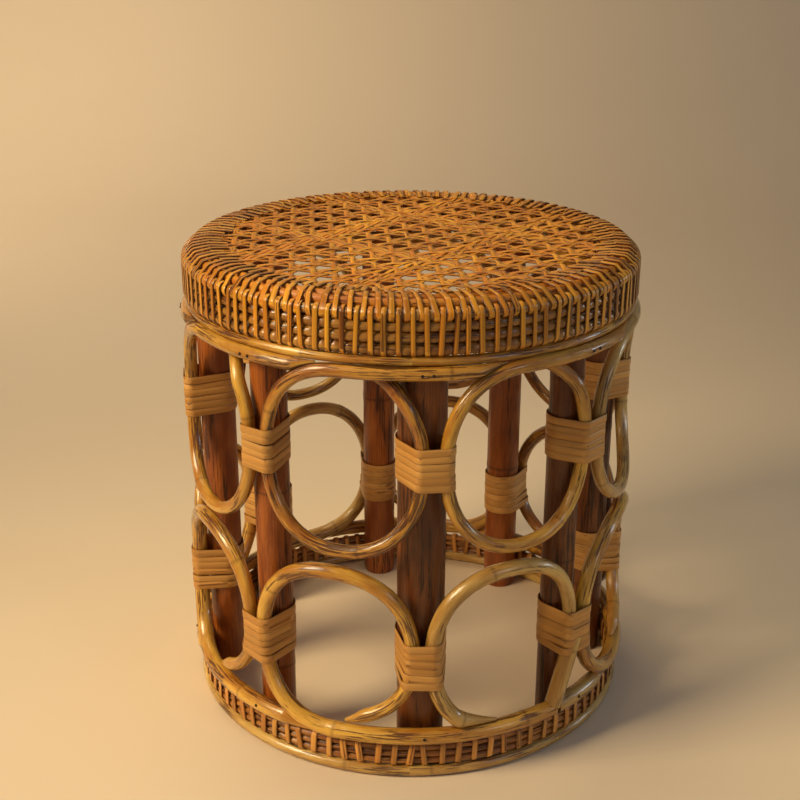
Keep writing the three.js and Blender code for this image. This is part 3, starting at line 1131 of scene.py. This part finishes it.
@dataclass
class SeatWeave:
    """The open weave of the seat.

    Pairs of strands run two ways, single strands run slantwise between them, and extra strands
    close a few rows of gaps into dense bands. A wave is a strand's middle height and its swing,
    in lifts. A jitter is how far a strand may lie off its row.
    """

    strand_width: float = 0.0041
    slant_width: float = 0.0040
    pair_spread: float = 0.0027
    band_spread: float = 0.0040
    thickness: float = 0.0007
    lift: float = 0.00038
    slant_wave: tuple[float, float] = (0.2, 1.7)
    band_wave: tuple[float, float] = (0.6, 1.4)
    pair_jitter: float = 0.0004
    slant_jitter: float = 0.0006
    band_jitter: float = 0.0005
    bow: float = 0.0009
    band_degrees: float = 3.5
    band_stray: float = 1.5
    radius: float = 0.1434
    margin: float = 0.006
    height: float = 0.3460
    sag: float = 0.0012
    step: float = 0.0024
    grain_length: float = 9.0
    width_shares: tuple[float, float] = (0.88, 1.1)
    seed: int = 11
    first: Rows = Rows(49.0, 0.0021, 0.0196)
    second: Rows = Rows(-41.0, -0.0117, 0.0196)
    level_slants: Rows = Rows(4.0, 0.0002, 0.01386)
    upright_slants: Rows = Rows(94.0, 0.0021, 0.01386)
    first_bands: tuple[float, ...] = (0.0507, -0.0469)
    second_bands: tuple[float, ...] = (0.0575, -0.0410)
    chance: random.Random = field(init=False)

    def __post_init__(self) -> None:
        """Set the strands' small differences going."""
        self.chance = random.Random(self.seed)

    def _stray(self, limit: float) -> float:
        """Return a small difference of one strand from its neighbours."""
        return self.chance.uniform(-limit, limit)

    def _strand(
        self,
        direction: float,
        offset: float,
        width: float,
        rise: Rise,
        bow: float = 0.0,
    ) -> Piece:
        """Weave one strand across the seat.

        Args:
            direction: Where it runs to, as an angle.
            offset: Its distance from the middle of the seat.
            width: Its width.
            rise: Its height over the weave's middle at a place.
            bow: How far it bends sideways halfway.

        Returns:
            The strand.
        """
        half = math.sqrt(max(0.0, self.radius**2 - offset**2))
        count = max(2, round(2 * half / self.step))
        turned = Matrix.Rotation(direction, 3, "Z")
        outline = []
        for index in range(count + 1):
            along = -half + 2 * half * index / count
            outline.append((along, rise(turned @ Vector((along, offset, 0.0)))))

        def place(point: Vector) -> Vector:
            """Lay a point of this strand on the seat.

            Args:
                point: The point, in the plane of its outline.

            Returns:
                Its place on the seat.
            """
            across = offset + point.z + bow * math.cos(QUARTER_TURN * point.x / half)
            flat = turned @ Vector((point.x, across, 0.0))
            middle = 1.0 - (flat.x**2 + flat.y**2) / self.radius**2
            return Vector((flat.x, flat.y, self.height + point.y - self.sag * middle))

        width *= self.chance.uniform(*self.width_shares)
        start = self.chance.uniform(0, self.grain_length)
        strip = Strip(outline, width, self.thickness, start, closed=False)
        return strip.lay(place, self.chance.random())

    def _wave(self, crossed: Rows, wave: tuple[float, float], shift: float = 0.0) -> Rise:
        """Find the rise of a strand that waves over and under the rows that it crosses.

        Args:
            crossed: The lines that it crosses.
            wave: Its middle height and its swing, in lifts.
            shift: Where its wave starts, in pitches.

        Returns:
            The rise, which gives its height at a place.
        """
        middle, swing = wave

        def rise(point: Vector) -> float:
            """Return the height of this strand at a place."""
            return self.lift * (middle + swing * math.cos(FULL_TURN * (crossed.across(point) + shift)))

        return rise

    def _pairs(self, rows: Rows, crossed: Rows, over: float) -> list[Piece]:
        """Weave the pairs of strands of one direction through those of the other.

        Args:
            rows: The lines that the pairs follow.
            crossed: The lines of the other direction.
            over: One or minus one, for which strand of a pair goes over first.

        Returns:
            The strands.
        """
        strands = []
        for row in rows.offsets(self.radius - self.margin):
            for side in (-1.0, 1.0):
                offset = row + side * self.pair_spread + self._stray(self.pair_jitter)
                sway = over * side * self.lift

                def rise(point: Vector) -> float:
                    """Return the height of this strand at a place."""
                    return sway * math.sin(FULL_TURN * crossed.across(point))

                bow = self._stray(self.bow)
                strands.append(self._strand(rows.direction, offset, self.strand_width, rise, bow))
        return strands

    def _slants(self, rows: Rows, crossed: Rows) -> list[Piece]:
        """Weave the single strands that cut off the corners of the gaps.

        Args:
            rows: The lines that the strands follow.
            crossed: The lines that they wave over and under.

        Returns:
            The strands.
        """
        rise = self._wave(crossed, self.slant_wave)
        strands = []
        for row in rows.offsets(self.radius - self.margin):
            offset = row + self._stray(self.slant_jitter)
            strands.append(self._strand(rows.direction, offset, self.slant_width, rise))
        return strands

    def _bands(self, rows: Rows, crossed: Rows, places: tuple[float, ...]) -> list[Piece]:
        """Lay the extra strands that fill whole rows of gaps.

        Args:
            rows: The lines that the strands run beside.
            crossed: The lines that they wave over and under.
            places: The distance of each band from the middle of the seat.

        Returns:
            The strands.
        """
        strands = []
        for middle in places:
            for side in (-1.0, 0.0, 1.0):
                offset = middle + side * self.band_spread + self._stray(self.band_jitter)
                rise = self._wave(crossed, self.band_wave, self.chance.random())
                turned = rows.direction + math.radians(self.band_degrees + self._stray(self.band_stray))
                strands.append(self._strand(turned, offset, self.strand_width, rise))
        return strands

    def build(self, looks: Looks) -> None:
        """Weave the seat and dress it.

        Args:
            looks: The finishes, by look.
        """
        first, second = self.first, self.second
        layers = [
            self._pairs(first, second, 1.0),
            self._pairs(second, first, -1.0),
            self._slants(self.level_slants, first) + self._slants(self.upright_slants, second),
            self._bands(first, second, self.first_bands) + self._bands(second, first, self.second_bands),
        ]
        for index, strands in enumerate(layers):
            piece = gather(f"seat_weave_{index + 1}", strands)
            dress(piece, looks[Look.NET], Slot.NET, ["seat_net"] if index == 0 else [])


@dataclass(frozen=True)
class TierSizes:
    """Sizes of one tier of rings, and of the bindings and nails that hold it.

    The rod's radius goes over into the tail's on its way. The start share is where on its oval a
    ring starts, the shift turns the tier against the posts, as a share of a full turn, and the
    lift is how much higher its far side lies than the lower tier's. The seed sets the bindings'
    small differences.
    """

    name: str
    rod: float
    tail: float
    spacing: float
    start_share: float
    shift: float
    lift: float
    grain: float
    seed: int
    binding_drop: float
    binding_depth: float
    nail_height: float
    nail_shifts: tuple[float, ...]
    looks: tuple[Look, ...]


class Tier(Enum):
    """The two tiers of rings."""

    UPPER = TierSizes(
        name="upper", rod=0.00475, tail=0.00475, spacing=0.015, start_share=0.2, shift=0.0065,
        lift=0.0062, grain=0.0, seed=0, binding_drop=0.00085, binding_depth=0.030,
        nail_height=0.3004, nail_shifts=(-0.012, 0.030),
        looks=(
            Look.ROD, Look.PALE_ROD, Look.FLECKED_ROD, Look.ROD,
            Look.PALE_ROD, Look.FLECKED_ROD, Look.ROD, Look.FLECKED_ROD,
        ),
    )
    LOWER = TierSizes(
        name="lower", rod=0.0048, tail=0.006, spacing=0.013, start_share=0.23, shift=0.0,
        lift=0.0, grain=0.07, seed=7, binding_drop=0.00386, binding_depth=0.034,
        nail_height=0.0345, nail_shifts=(0.008,),
        looks=(
            Look.PALE_ROD, Look.ROD, Look.FLECKED_ROD, Look.ROD,
            Look.PALE_ROD, Look.ROD, Look.ROD, Look.ROD,
        ),
    )


def rounded_oval(share: float, half_width: float, half_height: float) -> tuple[float, float]:
    """Find the place at a share of a turn round an oval.

    Args:
        share: The share of a turn, from its right side upwards.
        half_width: Half its width.
        half_height: Half its height.

    Returns:
        The place, across and up from its middle.
    """
    across = math.cos(FULL_TURN * share)
    up = math.sin(FULL_TURN * share)
    power = 2 / SIZES.oval_power
    return (
        half_width * math.copysign(abs(across) ** power, across),
        half_height * math.copysign(abs(up) ** power, up),
    )


@dataclass
class Ring:
    """One bent rod: a ring between two posts whose end runs on as a tail under the next ring.

    The line is the height that the tail lies on, and the far side is the ring's other end. The
    tail ends a share of the way to the post after the next, and a long one leads up to a ring
    that is split.
    """

    tier: Tier
    index: int
    line: float
    far_side: float
    end_gap: float = 0.0009
    tuck_gap: float = 0.0008
    tuck_shares: tuple[float, float] = (0.09, 0.19)
    last_share: float = -0.75
    tail_end: float = 0.44
    long_tail_end: float = 0.83
    tail_steps: int = 90
    lean_gap: float = 0.0002
    thinnest: float = 0.0006
    start_taper: float = 0.014
    start_thickness: float = 0.3
    step: float = 0.0028
    swell: float = 0.055
    grain_step: float = 0.173

    @property
    def side(self) -> float:
        """Return one for a tail above the ring and minus one for a tail below it."""
        return math.copysign(1.0, self.line - self.far_side)

    @property
    def side_radius(self) -> float:
        """Return the radius that the rod's middle lies at."""
        return SIZES.ring_face + self.tier.value.rod

    @property
    def half_depth(self) -> float:
        """Return half the height of the ring, from outside to outside."""
        return abs(self.line - self.far_side) / 2

    def turns(self) -> tuple[float, float, float]:
        """Return the turns of the ring's two sides and of the next ring's far side."""
        shift = self.tier.value.shift * FULL_TURN
        return tuple(SIZES.post_turn(self.index + step) + shift for step in range(3))

    def _half_width(self) -> float:
        """Return half the width of the oval that the rod's middle follows."""
        turn, next_turn, _ = self.turns()
        return (next_turn - turn) / 2 * self.side_radius - self.tier.value.spacing / 2

    def oval(self, steps: int = 160) -> tuple[Route, list[float]]:
        """Follow the ring from the rod's start round to where its tail begins.

        Args:
            steps: How many spans the way has.

        Returns:
            The points and the radii of the rod.
        """
        sizes = self.tier.value
        turn, next_turn, _ = self.turns()
        middle_turn = (turn + next_turn) / 2
        middle = (self.line + self.far_side) / 2
        half_width = self._half_width()
        tuck_depth = 2 * sizes.tail + self.tuck_gap
        on_tail = self.half_depth - 2 * sizes.tail - self.end_gap - sizes.rod
        points: Route = []
        radii: list[float] = []
        for step in range(steps + 1):
            along = step / steps
            share = lerp(sizes.start_share, self.last_share, along)
            radius = lerp(sizes.rod, sizes.tail, along)
            half_height = self.half_depth - radius
            tuck = 0.0
            if share > 0 and self.tier is Tier.UPPER:
                tuck = tuck_depth * smoothstep(share, *self.tuck_shares)
            elif share > 0:
                half_height = on_tail / rounded_oval(sizes.start_share, 1.0, 1.0)[1]
            across, up = rounded_oval(share, half_width, half_height)
            place = middle_turn + across / self.side_radius
            points.append(polar(place, SIZES.ring_face + radius - tuck, middle + self.side * up))
            radii.append(radius)
        return points, radii

    def room(self, turn: float) -> float:
        """Find the room between the line and this ring's rod, on its left half.

        Args:
            turn: The turn where the room is wanted.

        Returns:
            The room, or one metre outside the ring.
        """
        first, last, _ = self.turns()
        across = abs(turn - (first + last) / 2) * self.side_radius / self._half_width()
        if across >= 1.0:
            return 1.0
        power = SIZES.oval_power
        return (self.half_depth - self.tier.value.tail) * (1.0 - (1.0 - across**power) ** (1 / power))

    def tail_run(self, follower: Ring) -> tuple[Route, list[float]]:
        """Follow the tail, which thins out where the next ring leans on it.

        Args:
            follower: The next ring.

        Returns:
            The points and the radii of the rod, from the middle of the ring on.
        """
        tail = self.tier.value.tail
        turn, next_turn, following = self.turns()
        start = (turn + next_turn) / 2
        long = isinstance(follower, SplitRing)
        end = lerp(next_turn, following, self.long_tail_end if long else self.tail_end)
        points: Route = []
        radii: list[float] = []
        for step in range(1, self.tail_steps + 1):
            place = lerp(start, end, step / self.tail_steps)
            radius = tail
            if not long and place > next_turn:
                radius = min(tail, (follower.room(place) - self.lean_gap) / 2)
            if radius < self.thinnest:
                break
            points.append(polar(place, SIZES.ring_face + tail, self.line - self.side * radius))
            radii.append(radius)
        return points, radii

    def bend(self, name: str, points: Route, radii: list[float], start: float) -> Piece:
        """Bend a rod of this ring, with swollen joints.

        Args:
            name: The piece's name.
            points: Points along its middle.
            radii: Its radius at each point.
            start: Where along the cane its grain starts.

        Returns:
            The rod as a mesh.
        """
        places = pace(points, self.step)
        even = points_at(points, places)
        girths = [lerp(radii[span], radii[span + 1], share) for span, share in places]
        route = round_off(points_at(even, pace(even, self.step)))
        full = []
        for index, factor in enumerate(jointed_radii(route, 1.0, start, self.swell)):
            place = index / (len(route) - 1) * (len(girths) - 1)
            low = min(int(place), len(girths) - 2)
            full.append(lerp(girths[low], girths[low + 1], place - low) * factor)
        return bend_rod(name, route, full, start)

    def _cut_start(self, points: Route, radii: list[float]) -> None:
        """Slant the rod's cut end, so that it thins out on the tail that it lies on.

        Args:
            points: Points along the rod's middle, changed in place.
            radii: Its radius at each point, changed in place.
        """
        travelled = 0.0
        before = points[0]
        for index, point in enumerate(list(points)):
            travelled += (point - before).length
            before = point
            if travelled > self.start_taper:
                return
            share = lerp(self.start_thickness, 1.0, travelled / self.start_taper)
            lowered = radii[index] * (1.0 - share)
            points[index] = point + Vector((0.0, 0.0, self.side * lowered))
            radii[index] *= share

    def build(self, follower: Ring, material: Material) -> None:
        """Bend the ring and dress it.

        Args:
            follower: The next ring, which its tail runs under.
            material: Its finish.
        """
        points, radii = self.oval()
        if self.tier is Tier.LOWER:
            self._cut_start(points, radii)
        tail_points, tail_radii = self.tail_run(follower)
        start = self.index * self.grain_step + self.tier.value.grain
        node = f"{self.tier.value.name}_ring_{self.index + 1}"
        piece = self.bend("bent_" + node, points + tail_points, radii + tail_radii, start)
        dress(piece, material, Slot.ROD, [node])


@dataclass
class SplitRing(Ring):
    """The lower ring at the front right, in two parts.

    It thins out on its neighbour's tail, and a straight strut comes down from its right binding
    to the joint where its own tail begins.
    """

    joint_share: float = 0.83
    joint_gap: float = 0.015
    joint_lift: float = 1.3
    strut_rod: float = 0.0062
    strut_top: float = 0.058
    strut_lean: float = -0.0015
    strut_spans: int = 12
    thinned: int = 15
    sunk: float = 0.0003
    ring_grain: float = 0.02
    strut_grain: float = 0.4
    tail_grain: float = 0.61

    def _landed(self, points: Route, radii: list[float]) -> tuple[Route, list[float]]:
        """Cut the ring off at its strut, and thin its other end out on the neighbour's tail.

        Args:
            points: Points along the whole oval.
            radii: The rod's radius at each point.

        Returns:
            The points and the radii that are left.
        """
        tail = self.tier.value.tail
        top = self.line + 2 * tail
        first = next(index for index, point in enumerate(points) if point.z > self.line + self.strut_top)
        points, radii = points[first:], radii[first:]
        half = len(points) // 2 + 1
        landed = next(
            index for index, point in enumerate(points[half:], half) if point.z - top < tail
        )
        for index in range(landed, landed + self.thinned):
            radii[index] = tail * (1.0 - (index - landed) / (self.thinned + 2))
            points[index].z = max(top + radii[index] - self.sunk, top)
        return points[: landed + self.thinned], radii[: landed + self.thinned]

    def build(self, follower: Ring, material: Material) -> None:
        """Bend the ring, the strut and the tail, and dress them as one piece.

        Args:
            follower: The next ring, which the tail runs under.
            material: Its finish.
        """
        tail = self.tier.value.tail
        reach = SIZES.ring_face + tail
        turn, next_turn, _ = self.turns()
        ring = self.bend("ring", *self._landed(*self.oval()), self.ring_grain)
        joint = polar(lerp(turn, next_turn, self.joint_share), reach, self.line + tail * self.joint_lift)
        top = polar(next_turn + self.strut_lean / reach, reach, self.line + self.strut_top)
        run = [top.lerp(joint, step / self.strut_spans) for step in range(self.strut_spans + 1)]
        strut = bend_rod("strut", run, [self.strut_rod] * len(run), self.strut_grain)
        points, radii = self.tail_run(follower)
        cut = lerp(turn, next_turn, self.joint_share + self.joint_gap)
        first = next(index for index, point in enumerate(points) if turn_of(point) > cut)
        straight = self.bend("tail", points[first:], radii[first:], self.tail_grain)
        node = f"{self.tier.value.name}_ring_{self.index + 1}"
        dress(gather("bent_" + node, [ring, strut, straight]), material, Slot.ROD, [node])


@dataclass
class Binding:
    """Flat cane bound round a post and the two ring sides on it, in stacked turns."""

    tier: Tier
    index: int
    centre: float
    rings: list[Ring]
    turns: int = 6
    overlap: float = 1.1
    thickness: float = 0.00055
    stagger: float = 0.00018
    height_jitter: float = 0.0004
    tilt: float = 0.045
    points: int = 56
    oval_steps: int = 80
    grain_length: float = 9.0
    seed_step: int = 31

    def _sides(self, height: float) -> list[Bundle]:
        """Find the post and the ring sides at a height.

        Args:
            height: The height.

        Returns:
            Their sections, seen from above in the post's own frame.
        """
        turned = Matrix.Rotation(-SIZES.post_turn(self.index), 3, "Z")
        bundle = [Bundle(0.0, 0.0, SIZES.girth(self.index))]
        for ring_index, crossing in ((self.index, 1), (self.index - 1, 0)):
            points, radii = self.rings[ring_index % len(self.rings)].oval(self.oval_steps)
            found = []
            for before, after, radius in zip(points, points[1:], radii):
                if (before.z - height) * (after.z - height) <= 0 and before.z != after.z:
                    share = (height - before.z) / (after.z - before.z)
                    found.append((before.lerp(after, share), radius))
            point, radius = found[crossing]
            local = turned @ (point - SIZES.post_foot(self.index))
            bundle.append(Bundle(local.x, -local.y, radius))
        return bundle

    def build(self, looks: Looks) -> None:
        """Bind the turns and dress them.

        Args:
            looks: The finishes, by look.
        """
        sizes = self.tier.value
        chance = random.Random(self.seed_step * self.index + sizes.seed)
        turned = Matrix.Rotation(SIZES.post_turn(self.index), 3, "Z")
        foot = SIZES.post_foot(self.index)
        width = sizes.binding_depth / self.turns
        strips = []
        for index in range(self.turns):
            height = self.centre - sizes.binding_depth / 2 + (index + 0.5) * width
            height += chance.uniform(-self.height_jitter, self.height_jitter)
            offset = SIZES.clearance + self.thickness / 2 + self.stagger * (index % 2)
            outline = hull_outline(self._sides(height), offset, self.points)
            start = chance.uniform(0, self.grain_length)
            tilt = chance.uniform(-self.tilt, self.tilt)

            def place(point: Vector) -> Vector:
                """Return the place on the stool of a point of this turn."""
                local = turned @ Vector((point.x, -point.y, 0.0))
                return foot + local + Vector((0.0, 0.0, height + point.z + tilt * point.x))

            strip = Strip(outline, width * self.overlap, self.thickness, start)
            strips.append(strip.lay(place, chance.random()))
        node = f"{sizes.name}_binding_{self.index + 1}"
        dress(gather("bound_" + node, strips), looks[Look.BINDING], Slot.BINDING, [node])


@dataclass
class Rings:
    """Both tiers of rings and the bindings that hold them."""

    far_side: float = 0.1624

    def _tier(self, tier: Tier) -> list[Ring]:
        """Lay out the rings of a tier, of which the first lower one is split.

        Args:
            tier: The tier.

        Returns:
            Its rings.
        """
        line = SIZES.rim_underside - 2 * SIZES.clearance - 2 * SIZES.lip_rod
        if tier is Tier.LOWER:
            base = SIZES.base_bundle()[-1]
            line = base.height + base.rod + 2 * SIZES.clearance + SIZES.cane
        kinds = [Ring] * SIZES.post_count
        if tier is Tier.LOWER:
            kinds[0] = SplitRing
        far_side = self.far_side + tier.value.lift
        return [kind(tier, index, line, far_side) for index, kind in enumerate(kinds)]

    def build(self, looks: Looks) -> None:
        """Bend all rings and bind them to the posts.

        Args:
            looks: The finishes, by look.
        """
        for tier in Tier:
            rings = self._tier(tier)
            for ring, look in zip(rings, tier.value.looks):
                follower = rings[(ring.index + 1) % len(rings)]
                if follower.index < ring.index:
                    follower = replace(follower, index=follower.index + len(rings))
                ring.build(follower, looks[look])
            middle = (rings[0].line + rings[0].far_side) / 2
            for index in range(len(rings)):
                Binding(tier, index, middle - tier.value.binding_drop, rings).build(looks)


@dataclass
class Posts:
    """The eight thick canes that carry the seat, of which some are darker.

    The swell room is what a cane is thinner by, so that its joints swell to its full girth.
    """

    height: float = 0.3109
    spacing: float = 0.004
    swell_room: float = 0.0004
    end_gap: float = 0.0011
    swell: float = 0.028
    fullness: int = 8
    dark: tuple[int, ...] = (0, 1, 2)
    first_grain: float = 0.05
    grain_step: float = 0.219

    def build(self, looks: Looks) -> None:
        """Cut the posts and dress them.

        Args:
            looks: The finishes, by look.
        """
        steps = round(self.height / self.spacing)
        heights = [self.height * step / steps for step in range(steps + 1)]
        for index in range(SIZES.post_count):
            route = [SIZES.post_foot(index, height) for height in heights]
            start = self.first_grain + index * self.grain_step
            girth = SIZES.girth(index)
            radii = jointed_radii(route, girth - self.swell_room, start, self.swell)
            radii[0] = radii[-1] = girth - self.end_gap
            piece = bend_rod(f"cane_post_{index + 1}", route, radii, start, fullness=self.fullness)
            look = Look.POST if index in self.dark else Look.WARM_POST
            dress(piece, looks[look], Slot.POST, [f"post_{index + 1}"])


@dataclass
class Nails:
    """Small nails through the ring tails into the posts."""

    head: float = 0.0011
    depth: float = 0.0012
    sunk: float = 0.0001
    edge: float = 0.0004
    edge_segments: int = 2
    sides: int = 12

    def _nail(self, turn: float, reach: float, height: float) -> Piece:
        """Drive one nail.

        Args:
            turn: Its turn from the front.
            reach: The radius that its head lies at.
            height: Its height.

        Returns:
            Its head.
        """
        bpy.ops.object.select_all(action="DESELECT")
        bpy.ops.mesh.primitive_cylinder_add(
            vertices=self.sides, radius=self.head, depth=self.depth,
            location=polar(turn, reach, height), rotation=(QUARTER_TURN, 0.0, turn),
        )
        nail = bpy.context.object
        bevel = nail.modifiers.new("edge", "BEVEL")
        bevel.width = self.edge
        bevel.segments = self.edge_segments
        bpy.ops.object.modifier_apply(modifier=bevel.name)
        return nail

    def build(self) -> None:
        """Drive the nails and dress them."""
        heads = []
        for turn in map(SIZES.post_turn, range(SIZES.post_count)):
            for sizes in (tier.value for tier in Tier):
                reach = SIZES.ring_face + 2 * sizes.tail - self.sunk
                for shift in sizes.nail_shifts:
                    heads.append(self._nail(turn + shift, reach, sizes.nail_height))
        dress(gather("nail_heads", heads), NAIL_STEEL.build(), Slot.POST, [])


@dataclass(frozen=True)
class Lamp:
    """A soft square lamp: where it hangs and points, its side, its power and its spread in degrees."""

    name: str
    place: tuple[float, float, float]
    target: tuple[float, float, float]
    size: float
    power: float
    colour: tuple[float, float, float]
    spread: float = 180.0

    def hang(self) -> None:
        """Hang the lamp and point it."""
        bpy.ops.object.light_add(type="AREA", location=self.place)
        lamp = bpy.context.object
        lamp.name = self.name
        lamp.data.size = self.size
        lamp.data.energy = self.power
        lamp.data.color = self.colour
        lamp.data.spread = math.radians(self.spread)
        aim = Vector(self.target) - Vector(self.place)
        lamp.rotation_euler = aim.to_track_quat("-Z", "Y").to_euler()


@dataclass
class Studio:
    """A plain pale floor, soft lights and the camera at the photograph's angle."""

    distance: float = 0.98645
    elevation: float = 0.370773
    target: tuple[float, float, float] = (-0.0075, 0.0, 0.220)
    roll: float = 0.0024969
    lens: float = 58.5
    sensor: float = 36.0
    floor_size: float = 9.0
    floor_rows: int = 60
    floor_depth: float = 1.6
    floor_bend: float = 0.9
    room_light: Colour = (0.84, 0.92, 1.1, 1.0)
    room_strength: float = 0.15
    lamps: tuple[Lamp, ...] = (
        Lamp("key", (-1.24, -0.62, 1.14), (-0.12, -0.12, 0.1), 0.6, 4.8, (1.0, 0.8, 0.5), 72.0),
        Lamp("glow", (-1.3, 0.5, 1.5), (-0.6, 2.1, 0.1), 1.0, 13.6, (1.0, 0.82, 0.56), 105.0),
        Lamp("fill", (1.6, -1.6, 1.0), (0.0, 0.0, 0.2), 0.5, 3.2, (0.8, 0.9, 1.0)),
        Lamp("glint", (1.6, 0.1, 0.45), (0.0, 0.0, 0.2), 0.25, 0.3, (0.8, 0.9, 1.0), 60.0),
        Lamp("top", (-0.3, 0.5, 1.9), (0.0, 0.0, 0.2), 0.8, 0.95, (1.0, 0.82, 0.5), 50.0),
    )

    def build(self) -> None:
        """Set up the floor, the lights, the world and the camera."""
        self._lay_floor()
        for lamp in self.lamps:
            lamp.hang()
        self._light_room()
        self._place_camera()
        bpy.context.scene.view_settings.view_transform = "Standard"

    def _lay_floor(self) -> None:
        """Lay the floor, which rises at the back into a plain backdrop."""
        bpy.ops.object.select_all(action="DESELECT")
        bpy.ops.mesh.primitive_grid_add(
            x_subdivisions=2, y_subdivisions=self.floor_rows, size=self.floor_size
        )
        floor = bpy.context.object
        floor.name = "floor"

        def place(point: Vector) -> Vector:
            """Bend up a point of the flat sheet.

            Args:
                point: The point.

            Returns:
                Its place once the sheet is bent up.
            """
            past = max(0.0, point.y - self.floor_depth)
            turn = min(past / self.floor_bend, QUARTER_TURN)
            rise = self.floor_bend * (1 - math.cos(turn))
            rise += max(0.0, past - self.floor_bend * QUARTER_TURN)
            back = min(point.y, self.floor_depth) + self.floor_bend * math.sin(turn)
            return Vector((point.x, back, rise))

        move_points(floor, place)
        bpy.ops.object.shade_smooth()
        floor.data.materials.append(FLOOR_PAPER.build())

    def _light_room(self) -> None:
        """Set the world's soft light."""
        world = bpy.context.scene.world or bpy.data.worlds.new("room")
        bpy.context.scene.world = world
        world.use_nodes = True
        board = NodeBoard(world.node_tree)
        settings = {"Color": self.room_light, "Strength": self.room_strength}
        board.feed(board.tree.nodes["Background"], settings)

    def _place_camera(self) -> None:
        """Place the camera at the photograph's angle."""
        forward = Vector((0.0, math.cos(self.elevation), -math.sin(self.elevation)))
        bpy.ops.object.camera_add(location=Vector(self.target) - forward * self.distance)
        camera = bpy.context.object
        turn = forward.to_track_quat("-Z", "Y").to_matrix() @ Matrix.Rotation(self.roll, 3, "Z")
        camera.rotation_euler = turn.to_euler()
        camera.data.lens = self.lens
        camera.data.sensor_width = self.sensor
        bpy.context.scene.camera = camera


def main() -> None:
    """Build the stool's looks."""
    logging.basicConfig(level=logging.INFO, format="%(name)s: %(message)s")
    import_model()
    Studio().build()
    looks = make_finishes()
    for part in (Posts(), Hoops(), Rings(), Wraps(), SeatWeave()):
        part.build(looks)
    Nails().build()


if __name__ == "__main__":
    main()
